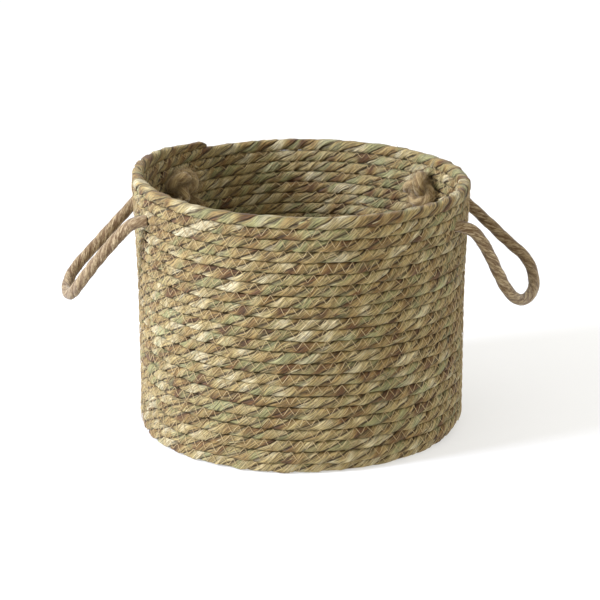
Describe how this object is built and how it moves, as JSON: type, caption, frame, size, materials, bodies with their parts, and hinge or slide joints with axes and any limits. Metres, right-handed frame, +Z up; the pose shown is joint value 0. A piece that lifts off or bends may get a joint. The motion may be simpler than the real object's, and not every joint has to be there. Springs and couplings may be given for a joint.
{
  "type": "storage basket",
  "caption": "Round open storage basket of coiled and zigzag-sewn seagrass rope, with a swinging knotted jute rope handle on each side.",
  "frame": {"origin": "on the floor under the middle of the round base", "axes": "+Z up out of the open mouth, -Y towards the front, the two handles on -X and +X"},
  "size_m": [0.4315, 0.2967, 0.23],
  "materials": {
    "seagrass_rope": "matte, dry twisted grass blades, straw to pale green and brown",
    "sewing_thread": "matte spun thread",
    "jute_rope": "matte twisted jute",
    "jute_fibre": "matte loose fibre"
  },
  "bodies": {
    "root": {"base_inner_thread": "sewing_thread", "base_outer_thread": "sewing_thread", "base_turn_01": "seagrass_rope", "base_turn_02": "seagrass_rope", "base_turn_03": "seagrass_rope", "base_turn_04": "seagrass_rope", "base_turn_05": "seagrass_rope", "base_turn_06": "seagrass_rope", "base_turn_07": "seagrass_rope", "base_turn_08": "seagrass_rope", "base_turn_09": "seagrass_rope", "base_turn_10": "seagrass_rope", "base_turn_11": "seagrass_rope", "base_turn_12": "seagrass_rope", "base_turn_13": "seagrass_rope", "corner_turn": "seagrass_rope", "left_back_knot": "jute_rope", "left_back_tail": "jute_fibre", "left_front_knot": "jute_rope", "left_front_tail": "jute_fibre", "right_back_knot": "jute_rope", "right_back_tail": "jute_fibre", "right_front_knot": "jute_rope", "right_front_tail": "jute_fibre", "rim_course": "seagrass_rope", "rim_rope_end": "seagrass_rope", "wall_course_01": "seagrass_rope", "wall_course_02": "seagrass_rope", "wall_course_03": "seagrass_rope", "wall_course_04": "seagrass_rope", "wall_course_05": "seagrass_rope", "wall_course_06": "seagrass_rope", "wall_course_07": "seagrass_rope", "wall_course_08": "seagrass_rope", "wall_course_09": "seagrass_rope", "wall_course_10": "seagrass_rope", "wall_course_11": "seagrass_rope", "wall_course_12": "seagrass_rope", "wall_course_13": "seagrass_rope", "wall_course_14": "seagrass_rope", "wall_course_15": "seagrass_rope", "wall_course_16": "seagrass_rope", "wall_course_17": "seagrass_rope", "wall_course_18": "seagrass_rope", "wall_course_19": "seagrass_rope", "wall_course_20": "seagrass_rope", "wall_course_21": "seagrass_rope", "wall_inner_thread": "sewing_thread", "wall_outer_thread": "sewing_thread"},
    "left_handle": {"left_handle_loop": "jute_rope"},
    "right_handle": {"right_handle_loop": "jute_rope"}
  },
  "joints": [
    {"name": "left_handle_swing", "type": "hinge", "parent": "root", "child": "left_handle", "pos_m": [-0.1387, 0, 0.1997], "axis": [0, 1, 0], "range_deg": [-30, 108]},
    {"name": "right_handle_swing", "type": "hinge", "parent": "root", "child": "right_handle", "pos_m": [0.1385, 0, 0.1948], "axis": [0, -1, 0], "range_deg": [-25, 112]}
  ]
}
